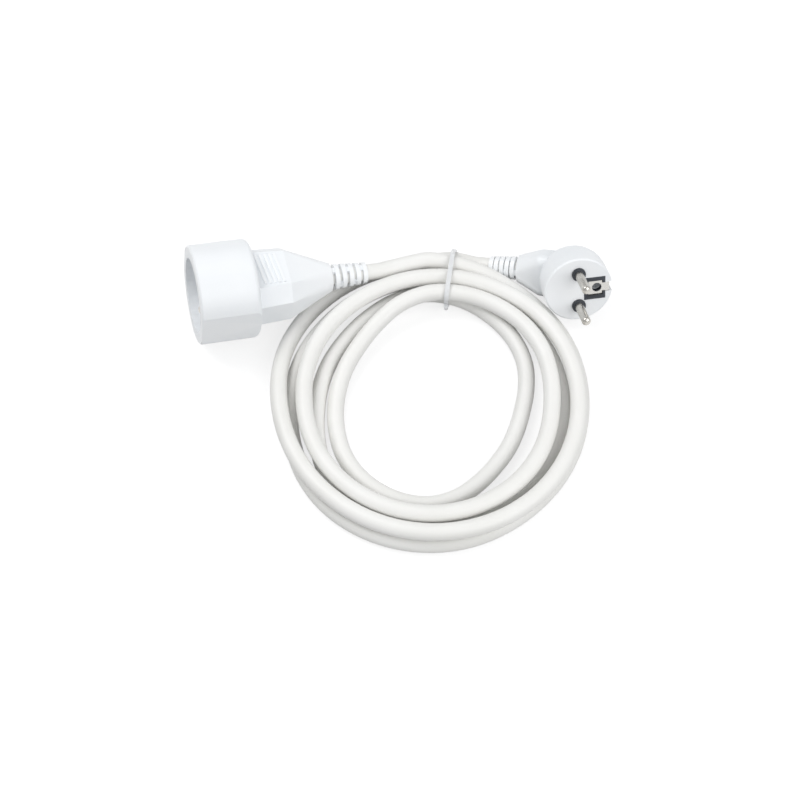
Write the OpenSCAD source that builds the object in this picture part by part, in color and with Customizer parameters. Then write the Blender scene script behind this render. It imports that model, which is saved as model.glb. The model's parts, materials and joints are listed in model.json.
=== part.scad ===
// Extension cord: a three-core lead wound in a loose coil, with a socket
// connector on one end and an angled plug on the other. Millimetres, +Z up.
// The connector lies on its side on the floor, its cord end tipped down along
// +X. The origin is on the floor, under the middle of the connector.

/* [Pins and contacts] */
// Diameter of a pin
pin_d = 4.8; // [4:0.1:5.5]
// Distance between the two line pins, and between their contacts
pin_pitch = 19; // [17.5:0.5:20.5]
// Length of a line pin in front of the plug's face
pin_l = 19; // [15:0.5:22]
// Distance from the line of the pins to the earth contact
earth_offset = 10; // [9:0.5:11]
// How far the earth pin stands out of the recess floor
earth_pin_l = 14; // [8:0.5:14.5]
// Play of a pin in the hole that it passes
pin_play = 0.4; // [0.2:0.1:0.6]
// Play between pieces that are assembled once
seat_play = 0.05; // [0.02:0.01:0.1]

/* [Socket connector] */
// Outer diameter of the cup
cup_d = 53; // [50:0.5:60]
// Width of the cup across its two side flats
cup_flat_w = 48.4; // [47:0.2:49.6]
// Length of the cup along the connector
cup_l = 32; // [31:0.5:40]
// Radius of the cup's rear edge
cup_edge_r = 3; // [1:0.5:4]
// Diameter of the recess that takes the plug
recess_d = 40; // [39:0.5:43]
// Depth of the recess
recess_depth = 15; // [14:0.5:16]
// Width of the grip
grip_w = 39; // [36:0.5:42]
// Height of the grip
grip_h = 30; // [29.5:0.5:33]
// Chamfer along the grip's four long edges
grip_chamfer = 7.5; // [5:0.5:8]
// How much narrower the grip's straight part is at its far end
grip_narrowing = 2.5; // [0:0.5:4]
// Length of the grip's straight part
grip_straight_l = 18; // [16:0.5:24]
// Length of the grip's tapered part
grip_taper_l = 25; // [20:0.5:32]
// Number of finger ribs on the grip
grip_ribs = 5; // [3:1:6]
// Distance from one finger rib to the next
grip_rib_pitch = 2.5; // [2.2:0.1:2.8]
// Thickness of the face plate over the shutter
face_plate_t = 2.4; // [1.6:0.2:3]
// Thickness of the shutter
shutter_t = 2.2; // [1.8:0.1:2.4]
// Travel of the shutter
shutter_travel = 6.2; // [6.2:0.1:6.6]
// Length of the sleeve that grips a pin
sleeve_l = 17; // [15:0.5:18]
// Angle by which the connector's cord end is tipped down
connector_tip = 8.5; // [6:0.5:10]

/* [Strain reliefs] */
// Length of the connector's strain relief
socket_relief_l = 20; // [16:0.5:26]
// Diameter of the connector's strain relief where it leaves the grip
socket_relief_d = 14; // [12.5:0.5:15]
// Length of the plug's strain relief
plug_relief_l = 20; // [16:0.5:22]
// Diameter of the plug's strain relief where it leaves the handle
plug_relief_d = 13; // [12:0.5:14.5]
// How much thinner a strain relief is at its cord end
relief_taper = 2.5; // [1:0.5:3]
// Number of rings on a strain relief
relief_rings = 5; // [3:1:6]
// Thickness of a ring
relief_ring_t = 2.3; // [1.6:0.1:2.5]

/* [Plug] */
// Diameter of the plug's face
plug_d = 37; // [36:0.5:39]
// Depth of the plug's full-width part
plug_rim_t = 12; // [10:0.5:14]
// Depth of the plug from its face to its back
plug_depth = 25; // [24:0.5:29]
// Diameter of the plug's flat back
plug_back_d = 19; // [14:0.5:22]
// Angle of the cord's way out, away from the plane of the face
handle_angle = 25; // [23:1:27]
// Length of the handle from the plug's middle to the strain relief
handle_l = 26; // [24:0.5:28]
// Width of the handle where it leaves the head
handle_w = 25; // [22:0.5:27]
// Depth of the handle where it leaves the head
handle_t = 15; // [13:0.5:17]
// Diameter of the collar round a line pin
collar_d = 7.4; // [6.6:0.2:8.6]
// How far the collars stand out of the face
collar_t = 1.2; // [0.4:0.2:2]
// Width of the earth contact strip
earth_strip_w = 5; // [4:0.2:6]
// Thickness of the earth contact strip
earth_strip_t = 0.8; // [0.6:0.1:1.2]

/* [Cord] */
// Diameter of the cord
cord_d = 9; // [8.4:0.1:9.1]
// Diameter of one insulated core
core_d = 2.7; // [2:0.1:3]
// Width of the tie that holds the coil
tie_w = 2.4; // [1.6:0.2:4]
// Thickness of the tie
tie_t = 0.8; // [0.4:0.1:0.9]

/* [Hidden] */
$fn = 64;
tiny = 0.01;

// ---- colours -------------------------------------------------------------
white = [0.95, 0.96, 0.97];
cord_white = [0.93, 0.93, 0.91];
dark = [0.17, 0.19, 0.22];
nickel = [0.72, 0.71, 0.69];
brass = [0.78, 0.62, 0.34];

// ---- the connector's own frame: X from the mouth to the cord --------------
cup_r = cup_d / 2;
grip_x = cup_l + grip_straight_l;
taper_x = grip_x + grip_taper_l;
relief_x = taper_x + socket_relief_l;
plate_x = recess_depth + face_plate_t;
pocket_t = shutter_t + 0.6;
pocket_x = plate_x + pocket_t;
cup_wall = 3;
flange_x = cup_l - cup_wall;
sleeve_wall = 0.8;
sleeve_r = pin_d / 2 + 0.1 + sleeve_wall;
nose_r = pin_pitch / 2 + sleeve_r + 0.6;
nose_x = pocket_x + sleeve_l + 1.3;
chamber_r = nose_r - 0.9;
chamber_x = nose_x + 11;
throat_r = 8;
sheath_x = chamber_x + 8;
contact_hole_r = pin_d / 2 + pin_play / 2;
mouth_z = (cup_l - cup_edge_r) * sin(connector_tip)
    + (cup_r - cup_edge_r) * cos(connector_tip) + cup_edge_r;
relief_end_r = (socket_relief_d - relief_taper) / 2;
mouth_x = -(relief_x * cos(connector_tip) + relief_end_r * sin(connector_tip)
    - cup_r * sin(connector_tip)) / 2;
mouth = [mouth_x, 0, mouth_z];
function from_connector(x) =
    mouth + x * [cos(connector_tip), 0, -sin(connector_tip)];

// ---- the plug's own frame: +Z along the pins, +X towards the earth hole ---
plug_at = [155, -45.7, 24.3];
plug_roll = 63;
plug_heading = -6.5;
handle_base_z = -19.5;
relief_start = handle_l + 3;
relief_end = relief_start + plug_relief_l - 4;
function turn_x(p, a) = [p.x, p.y * cos(a) - p.z * sin(a), p.y * sin(a) + p.z * cos(a)];
function turn_z(p, a) = [p.x * cos(a) - p.y * sin(a), p.x * sin(a) + p.y * cos(a), p.z];
function plug_turn(p) = turn_z(turn_x(p, plug_roll), plug_heading);
function plug_point(p) = plug_at + plug_turn(p);
function on_handle(s) = [-s * cos(handle_angle), 0, handle_base_z - s * sin(handle_angle)];
handle_dir = [cos(handle_angle), 0, sin(handle_angle)];

// ---- the coil -------------------------------------------------------------
coil_centre = [61.5, -87];
coil_heading = 15;
rings_per_turn = 24;
stations = 8;
start_r = 89.5;
start_z = 11.3;
// Radius at each eighth of a turn, clockwise from the top, one row a turn:
// out on the floor and in, then up and out again
turn_radius = [
    [87.3, 79, 75, 76, 76, 74, 78.3, 83.4],
    [75.8, 69, 65, 66, 66, 60, 64, 73.6],
    [64, 48, 46, 54, 53, 50, 54, 68],
    [70, 63, 63, 63.8, 64.3, 66, 73, 78.5],
    [80.5, 77, 75.3, 73.9, 74.5, 79, 90, 95]
];
// Height of the cord's underside at the same places
turn_height = [
    [0, 0, 0, 0, 0, 0, 0, 1.7],
    [0, 0, 0, 0, 0, 0, 0, 1.7],
    [0, 0, 0, 0, 0, 0, 4.5, 11.2],
    [9.7, 9.7, 9.7, 9.7, 9.7, 9.7, 9.7, 11.2],
    [9.7, 9.7, 9.7, 9.7, 9.7, 9.7, 1, 1.7]
];
turns = len(turn_radius);
radii = [start_r, for (t = turn_radius) for (r = t) r];
heights = [for (z = concat([start_z], [for (t = turn_height) each t])) z + cord_d / 2];
last = len(radii) - 1;
function clamp_at(list, i) = list[max(0, min(last, i))];
function spline(a, b, c, d, f) = 0.5 * (2 * b + (c - a) * f
    + (2 * a - 5 * b + 4 * c - d) * f * f + (3 * b - a - 3 * c + d) * f * f * f);
function station_radius(i) = i < 0 ? 2 * radii[0] - radii[1]
    : i > last ? 2 * radii[last] - radii[last - 1] : radii[i];
function coil_radius(s) = let (i = min(floor(s), last - 1), f = s - i)
    spline(station_radius(i - 1), station_radius(i), station_radius(i + 1),
        station_radius(i + 2), f);
function coil_height(s) = let (i = min(floor(s), last - 1), f = s - i)
    heights[i] + (clamp_at(heights, i + 1) - heights[i]) * f * f * (3 - 2 * f);
function coil_point(i) = let (s = i * stations / rings_per_turn,
        a = i * 360 / rings_per_turn + coil_heading, r = coil_radius(s))
    [coil_centre.x + r * sin(a), coil_centre.y + r * cos(a), coil_height(s)];
coil_rings = turns * rings_per_turn;
coil_route = [for (i = [0 : coil_rings]) coil_point(i)];

// ---- the free stretches ---------------------------------------------------
socket_end = from_connector(relief_x);
socket_dir = [cos(connector_tip), 0, -sin(connector_tip)];
plug_end = plug_point(on_handle(relief_end));
plug_dir = plug_turn(handle_dir);
function unit(v) = v / norm(v);
coil_start_dir = unit(coil_route[1] - coil_route[0]);
coil_end_dir = unit(coil_route[coil_rings] - coil_route[coil_rings - 1]);
socket_route = [
    socket_end,
    socket_end + cord_d * socket_dir,
    [67, 0.4, cord_d / 2 + 10.7],
    [76, 0.4, cord_d / 2 + 10.9],
    coil_route[0]
];
plug_route = [
    coil_route[coil_rings],
    [99.5, 2.7, cord_d / 2 + 1.7],
    [105.4, 0.2, cord_d / 2 + 0.9],
    plug_end - cord_d * plug_dir,
    plug_end
];

// ---- tubes ----------------------------------------------------------------
function heading_at(route, i, first, final) = i == 0 ? first
    : i == len(route) - 1 ? final : unit(route[i + 1] - route[i - 1]);
// Points round a tube: each ring stands square to the route, one corner level
function tube_points(route, r, sides, first, final, ref) = [
    for (i = [0 : len(route) - 1])
        let (t = heading_at(route, i, first, final),
            side = unit(cross(t, ref)), up = cross(side, t))
        for (k = [0 : sides - 1])
            route[i] + r * (side * cos(k * 360 / sides) + up * sin(k * 360 / sides))
];
function tube_faces(rings, sides) = concat(
    [for (k = [1 : sides - 2]) [0, k + 1, k]],
    [for (k = [1 : sides - 2]) let (e = (rings - 1) * sides) [e, e + k, e + k + 1]],
    [for (i = [0 : rings - 2]) for (k = [0 : sides - 1])
        let (a = i * sides + k, b = i * sides + (k + 1) % sides)
        each [[a, b, a + sides], [b, b + sides, a + sides]]]
);
module tube(route, r, sides, first, final, ref = [0, 0, 1]) {
    polyhedron(tube_points(route, r, sides, first, final, ref),
        tube_faces(len(route), sides), convexity = 10);
}

// Least gap between the coil's turns, on points along its middle line
function between(p, q, f) = p + (q - p) * f;
fine_route = [for (i = [0 : coil_rings - 1]) for (f = [0 : 0.25 : 0.75])
    between(coil_route[i], coil_route[i + 1], f)];
least_gap = min([for (i = [0 : len(fine_route) - 1])
    for (j = [i + 24 : 1 : len(fine_route) - 1]) norm(fine_route[i] - fine_route[j])])
    - cord_d;
function route_length(route, i = 0) = i >= len(route) - 1 ? 0
    : norm(route[i + 1] - route[i]) + route_length(route, i + 1);
echo(least_gap_mm = least_gap);
echo(cord_length_mm = route_length(coil_route) + route_length(socket_route)
    + route_length(plug_route));

// ---- helpers --------------------------------------------------------------
module place_connector() {
    translate(mouth) rotate([0, connector_tip, 0]) children();
}
module place_plug() {
    translate(plug_at) rotate([plug_roll, 0, plug_heading]) children();
}
// A child drawn along +Z is laid along +X
module along_x(x = 0, y = 0, z = 0) {
    translate([x, y, z]) rotate([0, 90, 0]) children();
}
module along_handle(s) {
    translate(on_handle(s)) rotate([0, -90 - handle_angle, 0]) children();
}
// An insulated core along its points, square to what it meets at both ends
module core(points, first, final) {
    tube(points, core_d / 2, 10, first, final, [0, 1, 0]);
}
// Ringed strain relief along +Z from its root; the cord lies in its bore
module relief(length, root_d) {
    bore_r = cord_d / 2 + seat_play;
    pitch = (length - relief_ring_t) / (relief_rings - 0.5);
    first_ring = pitch / 2;
    web_w = 3;
    difference() {
        union() {
            for (i = [0 : relief_rings - 1]) {
                z = first_ring + i * pitch;
                ring_r = (root_d - relief_taper * z / length) / 2;
                translate([0, 0, z]) cylinder(r = ring_r, h = relief_ring_t);
                gap_z = i == 0 ? 0 : z - pitch + relief_ring_t - tiny;
                web_h = z - gap_z + tiny;
                rotate([0, 0, 90 * (i % 2)])
                    translate([-ring_r + 0.5, -web_w / 2, gap_z])
                        cube([2 * ring_r - 1, web_w, web_h]);
            }
        }
        translate([0, 0, -1]) cylinder(r = bore_r, h = length + 2);
    }
}

// ---- socket connector -----------------------------------------------------
lip = 0.8;
cup_profile = concat(
    [[0, 0], [cup_r - lip, 0], [cup_r, lip]],
    [for (a = [0 : 15 : 90]) [cup_r - cup_edge_r + cup_edge_r * cos(a),
        cup_l - cup_edge_r + cup_edge_r * sin(a)]],
    [[0, cup_l]]
);
module cup() {
    intersection() {
        along_x() rotate_extrude() polygon(cup_profile);
        translate([-1, -cup_flat_w / 2, -cup_r - 1])
            cube([cup_l + 2, cup_flat_w, cup_d + 2]);
    }
}
module grip_section(less = 0) {
    h = grip_h / 2;
    w = (grip_w - less) / 2;
    c = grip_chamfer;
    polygon([[h, w - c], [h - c, w], [-h + c, w], [-h, w - c],
        [-h, -w + c], [-h + c, -w], [h - c, -w], [h, -w + c]]);
}
module grip() {
    hull() {
        along_x(cup_l - 1) linear_extrude(tiny) grip_section();
        along_x(grip_x - tiny) linear_extrude(tiny) grip_section(grip_narrowing);
    }
    hull() {
        along_x(grip_x - tiny) linear_extrude(tiny) grip_section(grip_narrowing);
        along_x(taper_x - tiny) cylinder(d = socket_relief_d + 1.4, h = tiny, $fn = 32);
    }
    rib_w = 1.3;
    rib_h = 0.7;
    rib_l = grip_w - 2 * grip_chamfer - 5;
    for (i = [0 : grip_ribs - 1])
        translate([cup_l + 3.5 + i * grip_rib_pitch, 0, grip_h / 2 + (rib_h - 1) / 2])
            rotate([0, 0, 6]) cube([rib_w, rib_l, rib_h + 1], center = true);
}
module socket_body() {
    color(white) place_connector() difference() {
        union() {
            cup();
            grip();
        }
        along_x(-1) cylinder(d = recess_d, h = flange_x + 1);
        along_x(flange_x - 1) cylinder(r = nose_r, h = nose_x - flange_x + 1);
        along_x(nose_x - 1) cylinder(r = chamber_r, h = chamber_x - nose_x + 1);
        along_x(chamber_x - 1) cylinder(r = throat_r, h = sheath_x - chamber_x + 1);
        along_x(sheath_x - 1)
            cylinder(r = cord_d / 2 + seat_play, h = taper_x - sheath_x + 2);
    }
}
module socket_relief() {
    color(white) place_connector() along_x(taper_x)
        relief(socket_relief_l, socket_relief_d);
}
root_less = 0.3;
held_r = pin_d / 2 - root_less + seat_play;
// Places of the two line contacts, across the connector's height
line_z = [pin_pitch / 2, -pin_pitch / 2];
module face_plate() {
    color(white) place_connector() difference() {
        along_x(recess_depth) cylinder(d = recess_d - 2 * seat_play, h = face_plate_t);
        for (z = line_z)
            along_x(recess_depth - 1, 0, z) cylinder(r = contact_hole_r, h = face_plate_t + 2);
        along_x(recess_depth - 1, -earth_offset)
            cylinder(r = held_r, h = face_plate_t + 2);
    }
}
shutter_half_w = pin_d / 2 + 1.1;
shutter_l = pin_pitch + 2 * shutter_half_w;
shutter_gap = 0.3;
channel_w = 3.4;
spring_r = 1.2;
spring_wire = 0.4;
spring_turns = 7;
spring_free_l = 12.4;
spring_x = plate_x + pocket_t / 2;
spring_y = shutter_half_w + shutter_gap;
channel_end = spring_y + spring_free_l + shutter_gap;
module shutter() {
    ramp = 1;
    color(white) place_connector()
        translate([plate_x + (pocket_t - shutter_t) / 2, 0, -shutter_l / 2])
            linear_extrude(shutter_l)
                polygon([[0, -shutter_half_w + 2 * ramp], [0, shutter_half_w],
                    [shutter_t, shutter_half_w], [shutter_t, -shutter_half_w],
                    [ramp, -shutter_half_w]]);
}
spring_steps = 8;
spring_route = [for (i = [0 : spring_turns * spring_steps])
    let (a = i * 360 / spring_steps)
    [spring_x + (spring_r - spring_wire / 2) * cos(a),
        spring_y + spring_wire / 2
            + i * (spring_free_l - spring_wire) / (spring_turns * spring_steps),
        (spring_r - spring_wire / 2) * sin(a)]];
module shutter_spring() {
    color(nickel) place_connector() tube(spring_route, spring_wire / 2, 6,
        unit(spring_route[1] - spring_route[0]),
        unit(spring_route[1] - spring_route[0]));
}
module contact_carrier() {
    color(white) place_connector() difference() {
        union() {
            along_x(plate_x)
                cylinder(d = recess_d - 2 * seat_play, h = flange_x - plate_x);
            along_x(plate_x) cylinder(r = nose_r - seat_play, h = nose_x - plate_x);
        }
        translate([plate_x - 1, -shutter_half_w - shutter_gap, -shutter_l / 2 - shutter_gap])
            cube([pocket_t + 1, 2 * shutter_half_w + shutter_travel + 2 * shutter_gap,
                shutter_l + 2 * shutter_gap]);
        translate([plate_x - 1, 0, -channel_w / 2])
            cube([pocket_t + 1, channel_end, channel_w]);
        for (z = line_z)
            along_x(plate_x, 0, z) cylinder(r = sleeve_r + seat_play, h = nose_x);
        along_x(plate_x - 1, -earth_offset)
            cylinder(r = held_r, h = nose_x);
    }
}
crimp_r = 2;
crimp_l = 3.5;
module contact_sleeve(z) {
    slot_w = 0.8;
    color(brass) place_connector() difference() {
        along_x(pocket_x + 0.3, 0, z) cylinder(r = sleeve_r, h = sleeve_l);
        along_x(pocket_x, 0, z) cylinder(r = pin_d / 2 + 0.1, h = sleeve_l - 1.2);
        translate([pocket_x, -sleeve_r - 1, z - slot_w / 2])
            cube([sleeve_l - 3, 2 * sleeve_r + 2, slot_w]);
    }
}
module contact_sleeve_live() { contact_sleeve(line_z[0]); }
module contact_sleeve_neutral() { contact_sleeve(line_z[1]); }
// A pin with a round tip; drawn along +Z, tip at the top. Its root, where it is
// held, is thinner than the pin
module pin(length, root_l) {
    tip_r = pin_d / 2;
    tip_l = 0.6 * tip_r;
    root_r = tip_r - root_less;
    rotate_extrude() polygon(concat(
        [[0, 0], [root_r, 0], [root_r, root_l], [tip_r, root_l]],
        [for (a = [0 : 15 : 75]) [tip_r * cos(a), length - tip_l + tip_l * sin(a)]],
        [[0, length]]));
}
sleeve_end_x = pocket_x + 0.3 + sleeve_l;
module earth_pin() {
    tip_x = recess_depth - earth_pin_l;
    color(nickel) place_connector()
        translate([sleeve_end_x, -earth_offset, 0]) rotate([0, -90, 0])
            pin(sleeve_end_x - tip_x, sleeve_end_x - recess_depth + 0.2);
}
contact_ends = [
    [sleeve_end_x, 0, line_z[0]], [sleeve_end_x, 0, line_z[1]], [sleeve_end_x, -earth_offset, 0]
];
module socket_crimps() {
    color(brass) place_connector() for (p = contact_ends)
        along_x(p.x, p.y, p.z) difference() {
            cylinder(r = crimp_r, h = crimp_l);
            translate([0, 0, 1]) cylinder(r = core_d / 2 + seat_play, h = crimp_l);
        }
}
core_spread = core_d * 0.62;
core_spots = [for (a = [90, -30, 210]) core_spread * [cos(a), sin(a)]];
module socket_core(i) {
    p = contact_ends[i];
    spot = core_spots[i];
    place_connector() core([
        [p.x + 1.2, p.y, p.z],
        [p.x + crimp_l + 0.6, p.y, p.z],
        [nose_x + 8, p.y * 0.5 + spot.x * 0.3, p.z * 0.5 + spot.y * 0.3],
        [chamber_x + 2, spot.x * 1.3, spot.y * 1.3],
        [sheath_x - 0.1, spot.x, spot.y]
    ], [1, 0, 0], [1, 0, 0]);
}
module socket_core_brown() { color([0.36, 0.2, 0.1]) socket_core(0); }
module socket_core_blue() { color([0.1, 0.3, 0.65]) socket_core(1); }
module socket_core_earth() { color([0.5, 0.65, 0.15]) socket_core(2); }
module socket_sheath_end() {
    color(cord_white) place_connector() along_x(sheath_x)
        cylinder(d = cord_d, h = relief_x - sheath_x);
}

// ---- cord -----------------------------------------------------------------
module socket_tail() {
    color(cord_white) tube(socket_route, cord_d / 2, 10, socket_dir, coil_start_dir);
}
module coil() {
    color(cord_white) tube(coil_route, cord_d / 2, 6, coil_start_dir, coil_end_dir);
}
module plug_tail() {
    color(cord_white) tube(plug_route, cord_d / 2, 10, coil_end_dir, plug_dir);
}

// ---- tie ------------------------------------------------------------------
// The tie goes round the whole bundle in an upright plane through the coil's
// middle; distances here are from that middle
tie_at = plug_route[1];
tie_angle = atan2(tie_at.x - coil_centre.x, tie_at.y - coil_centre.y);
tie_station = (tie_angle - coil_heading) * stations / 360;
tie_play = 0.75;
tie_strands = [for (k = [0 : turns - 1])
    [coil_radius(k * stations + tie_station), coil_height(k * stations + tie_station)]];
tail_strand = [norm([tie_at.x - coil_centre.x, tie_at.y - coil_centre.y]), tie_at.z];
module tie_outline(grow) {
    offset(r = grow) hull() for (p = concat(tie_strands, [tail_strand]))
        translate(p) circle(d = cord_d, $fn = 32);
}
module at_tie() {
    translate([coil_centre.x, coil_centre.y, 0])
        rotate([90, 0, 90 - tie_angle]) children();
}
module tie_strap() {
    color(white) at_tie() linear_extrude(tie_w, center = true) difference() {
        tie_outline(tie_play + tie_t, $fn = 32);
        tie_outline(tie_play, $fn = 32);
    }
}
head_r = 1.3;
head_l = 4.5;
head_from = tie_strands[2];
head_to = tie_strands[3];
head_dir = unit([head_to.x - head_from.x, head_to.y - head_from.y, 0]);
head_off = cord_d / 2 + tie_play + tie_t + head_r;
module tie_head() {
    middle = (head_from + head_to) / 2;
    color(white) at_tie()
        translate([middle.x - head_dir.y * head_off, middle.y + head_dir.x * head_off, 0])
            rotate([0, 0, atan2(head_dir.y, head_dir.x)])
                rotate([0, 90, 0]) cylinder(r = head_r, h = head_l, center = true, $fn = 24);
}

// ---- plug -----------------------------------------------------------------
plug_r = plug_d / 2;
block_w = 10;
block_top = -1.5;
block_bottom = -15;
frame_x = 3;
frame_l = 11.5;
frame_w = 13;
frame_bar = 2.2;
cavity_t = 7.2;
handle_edge_r = 5;
notch_w = 5.6;
notch_depth = 2.4;
strip_top = -0.5;
strip_floor = strip_top - earth_strip_t;
plug_profile = concat(
    [[0, 0], [plug_r - lip, 0], [plug_r, -lip], [plug_r, -plug_rim_t]],
    [for (a = [15 : 15 : 75]) [plug_back_d / 2 + (plug_r - plug_back_d / 2) * cos(a),
        -plug_rim_t - (plug_depth - plug_rim_t) * sin(a)]],
    [[plug_back_d / 2, -plug_depth], [0, -plug_depth]]
);
module carrier_block(grow) {
    translate([-block_w / 2 - grow, -pin_pitch / 2 - collar_d / 2 - grow, block_bottom - grow])
        cube([block_w + 2 * grow, pin_pitch + collar_d + 2 * grow,
            block_top - block_bottom + 2 * grow]);
    for (y = [-1, 1] * pin_pitch / 2)
        translate([0, y, block_top]) cylinder(d = collar_d + 2 * grow, h = collar_t - block_top);
    translate([frame_x - grow, -frame_w / 2 - grow, -4 - grow])
        cube([frame_l + 2 * grow, frame_w + 2 * grow, 4 + grow + 0.3]);
}
// Room for the cores between the pin carrier and the cord
room_w = pin_pitch + 2 * crimp_r + 0.8;
stem_x = block_w / 2 + 0.3;
module core_room() {
    translate([-7, -room_w / 2, block_bottom - cavity_t])
        cube([7 + stem_x + earth_strip_t + 0.4, room_w, cavity_t + 0.5]);
    along_handle(2) cylinder(r = core_spread + core_d / 2 + 1, h = sheath_s - 2);
}
sheath_s = 14.5;
// The earth contact's stem, down beside the block to its core
module stem(grow) {
    translate([stem_x - grow, -2 - grow, block_bottom - 4])
        cube([earth_strip_t + 2 * grow, 4 + 2 * grow, strip_top - block_bottom + 4]);
}
module plug_body() {
    color(white) place_plug() difference() {
        union() {
            rotate_extrude() polygon(plug_profile);
            hull() {
                for (s = [3, 15], y = [-1, 1] * (handle_w / 2 - handle_edge_r))
                    for (w = [0, handle_t - 2 * handle_edge_r])
                        translate(on_handle(s) + [-sin(handle_angle) * w, y, cos(handle_angle) * w])
                            sphere(r = handle_edge_r, $fn = 32);
                along_handle(relief_start - tiny)
                    cylinder(d = plug_relief_d + 2, h = tiny, $fn = 32);
            }
        }
        carrier_block(seat_play);
        core_room();
        along_handle(sheath_s) cylinder(r = cord_d / 2 + seat_play, h = handle_l);
        // Well behind the earth hole, and the notch in the rim
        translate([earth_offset, 0, block_bottom]) cylinder(d = pin_d + 1, h = 20);
        translate([plug_r - notch_depth, -notch_w / 2, -plug_rim_t])
            cube([notch_depth + 1, notch_w, plug_rim_t + 1]);
        translate([frame_x + frame_l - 0.1, -notch_w / 2, strip_floor])
            cube([plug_r - frame_x - frame_l, notch_w, 3]);
        stem(seat_play);
    }
}
module plug_relief() {
    color(white) place_plug() along_handle(relief_start)
        relief(relief_end - relief_start, plug_relief_d);
}
module pin_carrier() {
    color(dark) place_plug() difference() {
        carrier_block(0);
        for (y = [-1, 1] * pin_pitch / 2)
            translate([0, y, block_bottom - 1]) cylinder(r = held_r, h = 30);
        // Window for the earth strip, open towards the rim
        translate([frame_x + frame_bar, -frame_w / 2 + frame_bar, strip_floor])
            cube([frame_l - frame_bar - 1.4, frame_w - 2 * frame_bar, 5]);
        translate([frame_x + frame_bar, -notch_w / 2, strip_floor]) cube([frame_l, notch_w, 5]);
        stem(seat_play);
        translate([earth_offset, 0, -6]) cylinder(d = pin_d + 1, h = 5);
    }
}
module plug_pin(y) {
    color(nickel) place_plug() translate([0, y, block_bottom])
        pin(pin_l - block_bottom, collar_t + 0.2 - block_bottom);
}
module plug_pin_live() { plug_pin(pin_pitch / 2); }
module plug_pin_neutral() { plug_pin(-pin_pitch / 2); }
strip_x = frame_x + frame_bar + 0.2;
module earth_contact() {
    pad_w = frame_w - 2 * frame_bar - 0.4;
    pad_l = frame_l - frame_bar - 1.8;
    rim_x = plug_r - notch_depth;
    color(nickel) place_plug() difference() {
        union() {
            translate([strip_x, -pad_w / 2, strip_floor])
                cube([pad_l, pad_w, earth_strip_t]);
            translate([strip_x, -earth_strip_w / 2, strip_floor])
                cube([rim_x + earth_strip_t - strip_x, earth_strip_w, earth_strip_t]);
            stem(0);
            translate([rim_x, -earth_strip_w / 2, -plug_rim_t + 0.5])
                cube([earth_strip_t, earth_strip_w, plug_rim_t - 0.5 + strip_top]);
        }
        translate([earth_offset, 0, -6]) cylinder(r = pin_d / 2 + pin_play / 2, h = 10);
    }
}
pin_ends = [[0, pin_pitch / 2, block_bottom], [0, -pin_pitch / 2, block_bottom]];
plug_crimp_l = 3;
module plug_crimps() {
    color(brass) place_plug() for (p = pin_ends)
        translate(p - [0, 0, plug_crimp_l]) difference() {
            cylinder(r = crimp_r, h = plug_crimp_l);
            translate([0, 0, -1]) cylinder(r = core_d / 2 + seat_play, h = plug_crimp_l);
        }
}
handle_up = [-sin(handle_angle), 0, cos(handle_angle)];
module plug_core(i) {
    side = i == 0 ? 1 : -1;
    p = pin_ends[i];
    end = on_handle(sheath_s - 0.1) + [0, side * core_spots[1].x, 0] - core_spread / 2 * handle_up;
    place_plug() core([
        p - [0, 0, 1.1],
        p - [0, 0, plug_crimp_l + 0.2],
        p - [0, 0, plug_crimp_l + 1.6],
        [-3, side * 5.2, p.z - plug_crimp_l - 2.2],
        [-6.5, side * 2.2, p.z - plug_crimp_l - 3.8],
        end
    ], [0, 0, -1], -handle_dir);
}
module plug_core_brown() { color([0.36, 0.2, 0.1]) plug_core(0); }
module plug_core_blue() { color([0.1, 0.3, 0.65]) plug_core(1); }
module plug_core_earth() {
    end = on_handle(sheath_s - 0.1) + core_spread * handle_up;
    color([0.5, 0.65, 0.15]) place_plug() core([
        [stem_x, 0, block_bottom - 2.3],
        [stem_x - 3, 0, block_bottom - 2.3],
        [-6, 0, block_bottom - 4.4],
        end
    ], [-1, 0, 0], -handle_dir);
}
module plug_sheath_end() {
    color(cord_white) place_plug() along_handle(sheath_s)
        cylinder(d = cord_d, h = relief_end - sheath_s);
}

socket_body();
socket_relief();
face_plate();
shutter();
shutter_spring();
contact_carrier();
contact_sleeve_live();
contact_sleeve_neutral();
earth_pin();
socket_crimps();
socket_core_brown();
socket_core_blue();
socket_core_earth();
socket_sheath_end();
socket_tail();
coil();
plug_tail();
tie_strap();
tie_head();
plug_body();
plug_relief();
pin_carrier();
plug_pin_live();
plug_pin_neutral();
earth_contact();
plug_crimps();
plug_core_brown();
plug_core_blue();
plug_core_earth();
plug_sheath_end();
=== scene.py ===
"""Looks of the extension cord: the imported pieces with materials, and the cord as one curve."""
import json
import math

import bpy
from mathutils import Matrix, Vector


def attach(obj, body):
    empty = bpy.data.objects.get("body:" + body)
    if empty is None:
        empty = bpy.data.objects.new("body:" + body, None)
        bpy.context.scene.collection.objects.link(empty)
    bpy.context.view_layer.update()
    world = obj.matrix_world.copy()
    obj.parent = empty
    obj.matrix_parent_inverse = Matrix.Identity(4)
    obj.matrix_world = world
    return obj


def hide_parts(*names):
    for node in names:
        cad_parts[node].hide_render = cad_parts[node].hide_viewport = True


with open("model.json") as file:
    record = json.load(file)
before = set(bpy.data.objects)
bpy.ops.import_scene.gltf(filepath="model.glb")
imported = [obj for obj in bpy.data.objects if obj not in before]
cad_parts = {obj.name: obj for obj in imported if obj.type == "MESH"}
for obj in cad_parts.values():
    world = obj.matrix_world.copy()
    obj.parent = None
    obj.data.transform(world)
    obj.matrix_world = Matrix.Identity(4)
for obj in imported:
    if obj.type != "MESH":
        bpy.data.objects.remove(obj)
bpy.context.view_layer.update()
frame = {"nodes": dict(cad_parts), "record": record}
nodes = frame["nodes"]
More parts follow.
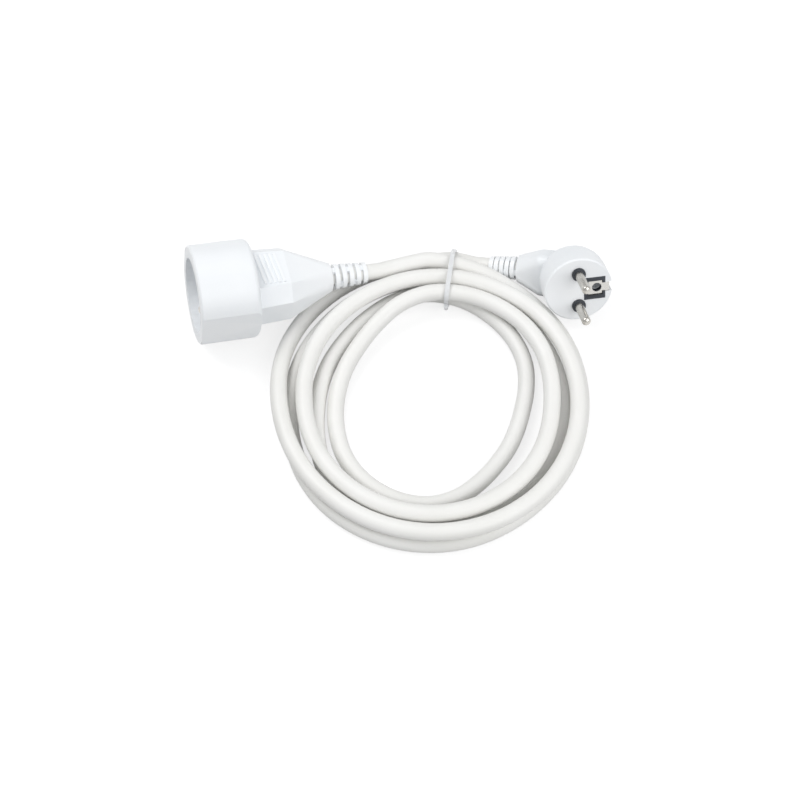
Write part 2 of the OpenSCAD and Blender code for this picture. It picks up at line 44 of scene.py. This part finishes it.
scene = bpy.context.scene
MM = 0.001


def add_object(name, data):
    """A new object in the scene that shows this data."""
    obj = bpy.data.objects.new(name, data)
    scene.collection.objects.link(obj)
    return obj


def aim(obj, place, target):
    """Put a camera or a lamp at place and turn it to target."""
    obj.location = place
    obj.rotation_euler = (target - obj.location).to_track_quat("-Z", "Y").to_euler()


# ---- camera, fitted to the photo ------------------------------------------
CAMERA_AT = Vector((-55.0, -459.6, 692.8)) * MM
CAMERA_TARGET = Vector((48.5, -73.2, 0.0)) * MM
cam_data = bpy.data.cameras.new("camera")
cam_data.sensor_width = 36.0
cam_data.lens = 67.68
cam_data.clip_start = 0.01
cam_data.clip_end = 20.0
cam = add_object("camera", cam_data)
aim(cam, CAMERA_AT, CAMERA_TARGET)
scene.camera = cam

# ---- the coil, in millimetres, as in part.scad ----------------------------
CORD_D = 9.0
COIL_CENTRE = (61.5, -87.0)
COIL_HEADING = 15
# Degrees from one station of the coil to the next
STATION_ANGLE = 45
START_R, START_Z = 89.5, 11.3
# Radius at each station, clockwise from the top, one row a turn: out on the
# floor and in, then up and out again
RADIUS = [
    [87.3, 79, 75, 76, 76, 74, 78.3, 83.4],
    [75.8, 69, 65, 66, 66, 60, 64, 73.6],
    [64, 48, 46, 54, 53, 50, 54, 68],
    [70, 63, 63, 63.8, 64.3, 66, 73, 78.5],
    [80.5, 77, 75.3, 73.9, 74.5, 79, 90, 95],
]
# Height of the cord's underside at the same stations
HEIGHT = [
    [0, 0, 0, 0, 0, 0, 0, 1.7],
    [0, 0, 0, 0, 0, 0, 0, 1.7],
    [0, 0, 0, 0, 0, 0, 4.5, 11.2],
    [9.7, 9.7, 9.7, 9.7, 9.7, 9.7, 9.7, 11.2],
    [9.7, 9.7, 9.7, 9.7, 9.7, 9.7, 1, 1.7],
]
radii = [START_R] + [r for row in RADIUS for r in row]
heights = [z + CORD_D / 2 for z in [START_Z] + [z for row in HEIGHT for z in row]]
last = len(radii) - 1


def station_radius(i):
    """The radius at station i, carried on in a straight line past both ends."""
    if i < 0:
        return 2 * radii[0] - radii[1]
    if i > last:
        return 2 * radii[last] - radii[last - 1]
    return radii[i]


def spline(a, b, c, d, f):
    """A smooth value at the share f of the way from b to c."""
    return 0.5 * (2 * b + (c - a) * f + (2 * a - 5 * b + 4 * c - d) * f * f
                  + (3 * b - a - 3 * c + d) * f ** 3)


def coil_point(s):
    """The middle of the cord at s stations from the coil's start."""
    i = min(int(s), last - 1)
    f = s - i
    r = spline(*[station_radius(i + k) for k in (-1, 0, 1, 2)], f)
    z = heights[i] + (heights[i + 1] - heights[i]) * f * f * (3 - 2 * f)
    a = math.radians(s * STATION_ANGLE + COIL_HEADING)
    return Vector((COIL_CENTRE[0] + r * math.sin(a), COIL_CENTRE[1] + r * math.cos(a), z))


# ---- where the cord leaves the connector and the plug, in millimetres ------
CUP_L, CUP_R, CUP_EDGE_R = 32, 26.5, 3
# The connector with its strain relief, how far its cord end is tipped down,
# and the strain relief's radius there
CONNECTOR_L = 95
TIP = math.radians(8.5)
RELIEF_END_R = 5.75
mouth_x = -(CONNECTOR_L * math.cos(TIP) + RELIEF_END_R * math.sin(TIP) - CUP_R * math.sin(TIP)) / 2
mouth_z = ((CUP_L - CUP_EDGE_R) * math.sin(TIP) + (CUP_R - CUP_EDGE_R) * math.cos(TIP)
           + CUP_EDGE_R)
socket_dir = Vector((math.cos(TIP), 0, -math.sin(TIP)))
socket_end = Vector((mouth_x, 0, mouth_z)) + CONNECTOR_L * socket_dir

PLUG_AT = Vector((155, -45.7, 24.3))
PLUG_ROLL = math.radians(63)
PLUG_HEADING = math.radians(-6.5)
HANDLE_ANGLE = math.radians(25)
HANDLE_BASE_Z = -19.5
# Along the handle, from its base to the end of its strain relief
HANDLE_L = 45


def plug_turn(x, y, z):
    """A direction of the plug, turned to the way the plug lies."""
    a, h = PLUG_ROLL, PLUG_HEADING
    y, z = y * math.cos(a) - z * math.sin(a), y * math.sin(a) + z * math.cos(a)
    return Vector((x * math.cos(h) - y * math.sin(h), x * math.sin(h) + y * math.cos(h), z))


plug_end = PLUG_AT + plug_turn(-HANDLE_L * math.cos(HANDLE_ANGLE), 0,
                               HANDLE_BASE_Z - HANDLE_L * math.sin(HANDLE_ANGLE))
plug_dir = plug_turn(math.cos(HANDLE_ANGLE), 0, math.sin(HANDLE_ANGLE))

# ---- the cord's route, in millimetres --------------------------------------
# Points given between each end and the coil, as in part.scad
SOCKET_TAIL = [Vector((67, 0.4, 15.2)), Vector((76, 0.4, 15.4))]
PLUG_TAIL = [Vector((99.5, 2.7, 6.2)), Vector((105.4, 0.2, 5.4))]
# How far the cord runs straight out of each strain relief
STRAIGHT = 9
KEYS_A_STATION = 3
PARTS_A_KEY = 4
keys = [socket_end, socket_end + STRAIGHT / 2 * socket_dir, socket_end + STRAIGHT * socket_dir]
keys += SOCKET_TAIL
keys += [coil_point(i / KEYS_A_STATION) for i in range(last * KEYS_A_STATION + 1)]
keys += PLUG_TAIL
keys += [plug_end - STRAIGHT * plug_dir, plug_end - STRAIGHT / 2 * plug_dir, plug_end]


def between(p, q, at_p, at_q, x):
    """The point at x on the straight line that is at p at at_p and at q at at_q."""
    return (p * (at_q - x) + q * (x - at_p)) / (at_q - at_p)


def smooth(points, parts):
    """A centripetal Catmull-Rom line through the points."""
    p = [2 * points[0] - points[1]] + points + [2 * points[-1] - points[-2]]
    out = []
    for i in range(1, len(p) - 2):
        four = p[i - 1:i + 3]
        t = [0.0]
        for k in range(3):
            t.append(t[-1] + max((four[k + 1] - four[k]).length, 1e-6) ** 0.5)
        for j in range(parts):
            x = t[1] + (t[2] - t[1]) * j / parts
            a = [between(four[k], four[k + 1], t[k], t[k + 1], x) for k in range(3)]
            b = [between(a[k], a[k + 1], t[k], t[k + 2], x) for k in range(2)]
            out.append(between(b[0], b[1], t[1], t[2], x))
    return out + [points[-1]]


# ---- the cord --------------------------------------------------------------
route = smooth(keys, PARTS_A_KEY)
curve = bpy.data.curves.new("cord", "CURVE")
curve.dimensions = "3D"
line = curve.splines.new("POLY")
line.points.add(len(route) - 1)
for point, co in zip(line.points, route):
    point.co = (*co, 1.0)
line.use_smooth = True
curve.bevel_depth = CORD_D / 2
curve.bevel_resolution = 8
curve.use_fill_caps = True
cord = add_object("cord", curve)
# Blender widens a curve's box by its points' radius, which is 1 unit. The curve
# is drawn in millimetres and scaled down, so that unit is 1 mm and not 1 m
cord.scale = (MM, MM, MM)
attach(cord, "cord_set")
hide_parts("coil", "socket_tail", "plug_tail")

# ---- materials ------------------------------------------------------------
# The stretch of the broad noise in which the low colour turns into the high one
PATCH_FROM, PATCH_TO = 0.3, 0.7
# How sharp an edge starts to get a painted highlight and gets it fully, and how strong that
# painted highlight is
HIGHLIGHT_FROM, HIGHLIGHT_TO, MOST_HIGHLIGHT = 0.53, 0.62, 0.6


def set_inputs(node, **values):
    """Set a shader node's inputs; an underscore stands for a space in the name."""
    for key, value in values.items():
        node.inputs[key.replace("_", " ")].default_value = value


def noise(tree, place, scale, detail):
    """The output of a noise texture in the object's own coordinates."""
    node = tree.nodes.new("ShaderNodeTexNoise")
    set_inputs(node, Scale=scale, Detail=detail)
    tree.links.new(place.outputs["Object"], node.inputs["Vector"])
    return node.outputs["Fac"]


def material(name, low, high, rough=(0.35, 0.45), grain=900.0, bump=0.05, depth=0.0002,
             patch=35.0, wear=None, **fixed):
    """Plastic or metal with patchy colour, uneven gloss, a fine moulded grain and, if given, a
    painted highlight on sharp edges.
    """
    mat = bpy.data.materials.new(name)
    mat.use_nodes = True
    tree = mat.node_tree
    shader = tree.nodes["Principled BSDF"]
    new, link = tree.nodes.new, tree.links.new
    place = new("ShaderNodeTexCoord")
    broad = noise(tree, place, patch, 3.0)
    fine = noise(tree, place, grain, 4.0)
    ramp = new("ShaderNodeValToRGB")
    stops = ramp.color_ramp.elements
    stops[0].position, stops[1].position = PATCH_FROM, PATCH_TO
    stops[0].color, stops[1].color = (*low, 1), (*high, 1)
    link(broad, ramp.inputs["Fac"])
    colour = ramp.outputs["Color"]
    # Sharp convex edges are painted lighter: a painted highlight that stands in for rounded edges
    # catching the light
    if wear:
        geometry = new("ShaderNodeNewGeometry")
        edge = new("ShaderNodeMapRange")
        set_inputs(edge, From_Min=HIGHLIGHT_FROM, From_Max=HIGHLIGHT_TO, To_Max=MOST_HIGHLIGHT)
        link(geometry.outputs["Pointiness"], edge.inputs["Value"])
        mix = new("ShaderNodeMix")
        mix.data_type = "RGBA"
        link(edge.outputs["Result"], mix.inputs["Factor"])
        link(colour, mix.inputs["A"])
        set_inputs(mix, B=(*wear, 1))
        colour = mix.outputs["Result"]
    link(colour, shader.inputs["Base Color"])
    gloss = new("ShaderNodeMapRange")
    set_inputs(gloss, To_Min=rough[0], To_Max=rough[1])
    link(fine, gloss.inputs["Value"])
    link(gloss.outputs["Result"], shader.inputs["Roughness"])
    bumps = new("ShaderNodeBump")
    set_inputs(bumps, Strength=bump, Distance=depth)
    link(fine, bumps.inputs["Height"])
    link(bumps.outputs["Normal"], shader.inputs["Normal"])
    set_inputs(shader, **fixed)
    return mat


# Grain and patch count per metre, but per millimetre on the cord's curve
# The lighter edge colour in some looks is a painted highlight on sharp edges
LOOKS = {
    "white_shell": dict(low=(0.86, 0.885, 0.91), high=(0.90, 0.92, 0.94), rough=(0.3, 0.42),
                        wear=(0.95, 0.96, 0.97), bump=0.12),
    "cord_sheath": dict(low=(0.82, 0.815, 0.785), high=(0.875, 0.87, 0.85), rough=(0.36, 0.5),
                        grain=0.6, bump=0.15, patch=0.022),
    "dark_carrier": dict(low=(0.010, 0.013, 0.018), high=(0.018, 0.022, 0.030),
                         rough=(0.4, 0.55), wear=(0.09, 0.1, 0.12), bump=0.2),
    "tie": dict(low=(0.88, 0.9, 0.92), high=(0.93, 0.94, 0.95), rough=(0.25, 0.35),
                Transmission_Weight=0.25),
    "nickel": dict(low=(0.56, 0.54, 0.50), high=(0.68, 0.66, 0.62), rough=(0.2, 0.34),
                   grain=1500.0, bump=0.012, depth=0.00005, wear=(0.8, 0.79, 0.76),
                   Metallic=1.0),
    "brass": dict(low=(0.55, 0.38, 0.15), high=(0.7, 0.5, 0.22), rough=(0.25, 0.4),
                  Metallic=1.0),
    "core_brown": dict(low=(0.12, 0.05, 0.02), high=(0.17, 0.075, 0.03)),
    "core_blue": dict(low=(0.02, 0.10, 0.34), high=(0.03, 0.14, 0.42)),
    "core_green": dict(low=(0.18, 0.34, 0.03), high=(0.42, 0.46, 0.04), patch=240.0),
}
finish = {name: material(name, **look) for name, look in LOOKS.items()}
curve.materials.append(finish["cord_sheath"])
for part in frame["record"]["subparts"]:
    for slot in nodes[part["node"]].material_slots:
        slot.material = finish[part["material_slot"]]

# ---- floor -----------------------------------------------------------------
FLOOR_HALF = 6.0
FLOOR_Z = -0.0002
FLOOR_GREY = 0.38
FLOOR_GLOW = 0.72
corners = [(x * FLOOR_HALF, y * FLOOR_HALF, FLOOR_Z)
           for x, y in ((-1, -1), (1, -1), (1, 1), (-1, 1))]
floor_mesh = bpy.data.meshes.new("floor")
floor_mesh.from_pydata(corners, [], [(0, 1, 2, 3)])
floor = add_object("floor", floor_mesh)
paper = bpy.data.materials.new("floor")
paper.use_nodes = True
new_node, join = paper.node_tree.nodes.new, paper.node_tree.links.new
sheet = paper.node_tree.nodes["Principled BSDF"]
set_inputs(sheet, Base_Color=(FLOOR_GREY, FLOOR_GREY, FLOOR_GREY, 1), Roughness=0.9,
           Specular_IOR_Level=0.1, Emission_Color=(1, 1, 1, 1))
# The floor looks white to the eye and in gloss, and throws no extra light on the object
light_path = new_node("ShaderNodeLightPath")
glow = light_path.outputs["Is Camera Ray"]
for ray in ("Is Glossy Ray", "Is Transmission Ray"):
    either = new_node("ShaderNodeMath")
    either.operation = "MAXIMUM"
    join(glow, either.inputs[0])
    join(light_path.outputs[ray], either.inputs[1])
    glow = either.outputs["Value"]
strength = new_node("ShaderNodeMath")
strength.operation = "MULTIPLY"
strength.inputs[1].default_value = FLOOR_GLOW
join(glow, strength.inputs[0])
join(strength.outputs["Value"], sheet.inputs["Emission Strength"])
floor_mesh.materials.append(paper)

# ---- light -----------------------------------------------------------------
LAMP_TARGET = Vector((0.06, -0.07, 0.0))
world = bpy.data.worlds.new("world")
scene.world = world
world.use_nodes = True
set_inputs(world.node_tree.nodes["Background"], Color=(0.98, 0.99, 1.0, 1), Strength=0.56)


def softbox(name, place, side, power):
    """A square lamp at place, aimed near the middle of the coil."""
    data = bpy.data.lights.new(name, "AREA")
    data.shape = "RECTANGLE"
    data.size = side
    data.size_y = side
    data.energy = power
    aim(add_object(name, data), place, LAMP_TARGET)


softbox("key", place=(-0.5, 0.5, 1.3), side=0.9, power=9.4)
softbox("fill", place=(0.6, -0.9, 0.8), side=1.0, power=6.6)
scene.view_settings.view_transform = "Standard"
scene.view_settings.look = "None"

bpy.context.view_layer.update()
